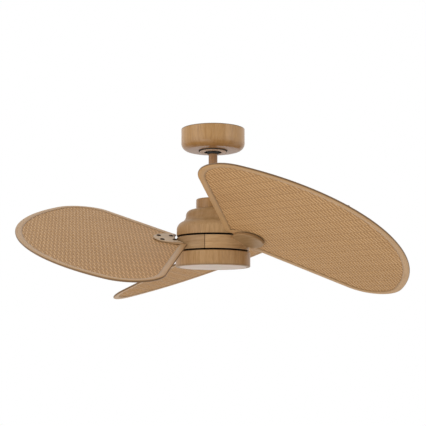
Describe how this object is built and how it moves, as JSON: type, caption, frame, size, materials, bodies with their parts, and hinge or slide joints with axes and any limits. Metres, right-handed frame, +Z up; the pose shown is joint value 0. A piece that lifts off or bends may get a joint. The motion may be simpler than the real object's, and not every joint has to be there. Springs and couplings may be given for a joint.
{
  "type": "ceiling fan",
  "caption": "Ceiling fan with wide woven petal blades on pitched arms, a round canopy, a ball-hung downrod, a stepped motor housing and a flush frosted light.",
  "frame": {"origin": "centre of the hanger bracket's top face, on the ceiling plane and the fan's axis", "axes": "+Z up into the ceiling, +X to the right and +Y away from the camera in the picture"},
  "size_m": [1.0825, 1.0678, 0.4693],
  "materials": {
    "grain_paint": "wood-grain print, satin",
    "arm_paint": "wood-grain print, satin",
    "rod_paint": "wood-grain print, satin",
    "trim_paint": "satin",
    "blade_rim": "satin",
    "blade_weave": "woven cane look",
    "plate_cream": "satin",
    "screw_dark": "blackened",
    "screw_zinc": "zinc plated",
    "steel": "zinc plated",
    "black_steel": "black paint",
    "nylon": "moulded",
    "receiver_case": "moulded",
    "wire": "smooth",
    "motor_cast": "blackened casting",
    "laminate": "laminated steel",
    "copper": "enamelled wire",
    "magnet": "sintered",
    "bearing": "polished",
    "gasket": "smooth",
    "board": "white mask",
    "driver_case": "moulded",
    "chip": "lamp chips",
    "lens": "frosted"
  },
  "bodies": {
    "hanger": {"hanger_bracket": "steel", "control_receiver": "receiver_case", "receiver_screws": "screw_zinc", "canopy": "grain_paint", "canopy_screws": "screw_zinc", "canopy_trim_ring": "trim_paint"},
    "peg": {"registration_pin": "steel"},
    "stem": {"hanger_ball": "nylon", "ball_cross_pin": "steel", "ball_set_screw": "steel", "downrod": "rod_paint", "lead_wires": "wire", "wire_plugs": "nylon", "coupling_cover": "grain_paint", "motor_yoke": "black_steel", "yoke_clevis_pin": "steel", "yoke_cotter": "steel", "yoke_set_screws": "steel", "upper_housing": "grain_paint", "upper_housing_screws": "screw_zinc", "motor_shaft": "steel", "stator_core": "laminate", "stator_windings": "copper", "bearing_inner_rings": "bearing", "shaft_spacer": "steel", "light_plate": "steel", "shaft_nut": "steel", "light_housing": "grain_paint", "light_housing_screws": "screw_zinc", "light_board": "board", "light_board_screws": "screw_zinc", "light_driver": "driver_case", "light_chips": "chip"},
    "rotor": {"bearing_outer_rings": "bearing", "bearing_balls": "bearing", "rotor_upper_shell": "motor_cast", "rotor_lower_shell": "motor_cast", "rotor_shell_screws": "screw_zinc", "arm_screws": "screw_zinc", "rotor_magnets": "magnet", "blade_arm_1": "arm_paint", "blade_frame_1": "blade_rim", "blade_panel_1": "blade_weave", "blade_plate_1": "plate_cream", "blade_gasket_1": "gasket", "blade_screws_1": "screw_dark", "blade_arm_2": "arm_paint", "blade_frame_2": "blade_rim", "blade_panel_2": "blade_weave", "blade_plate_2": "plate_cream", "blade_gasket_2": "gasket", "blade_screws_2": "screw_dark", "blade_arm_3": "arm_paint", "blade_frame_3": "blade_rim", "blade_panel_3": "blade_weave", "blade_plate_3": "plate_cream", "blade_gasket_3": "gasket", "blade_screws_3": "screw_dark"},
    "lens": {"lens_diffuser": "lens"}
  },
  "joints": [
    {"name": "sway_about_x", "type": "hinge", "parent": "hanger", "child": "peg", "pos_m": [0, 0, -0.033], "axis": [1, 0, 0], "range_deg": [-8, 8]},
    {"name": "sway_about_y", "type": "hinge", "parent": "peg", "child": "stem", "pos_m": [0, 0, -0.033], "axis": [0, 1, 0], "range_deg": [-8, 8]},
    {"name": "rotor_spin", "type": "hinge", "parent": "stem", "child": "rotor", "pos_m": [0, 0, -0.32], "axis": [0, 0, 1], "continuous": true},
    {"name": "lens_twist", "type": "hinge", "parent": "stem", "child": "lens", "pos_m": [0, 0, -0.395], "axis": [0, 0, 1], "range_deg": [0, 32]}
  ]
}
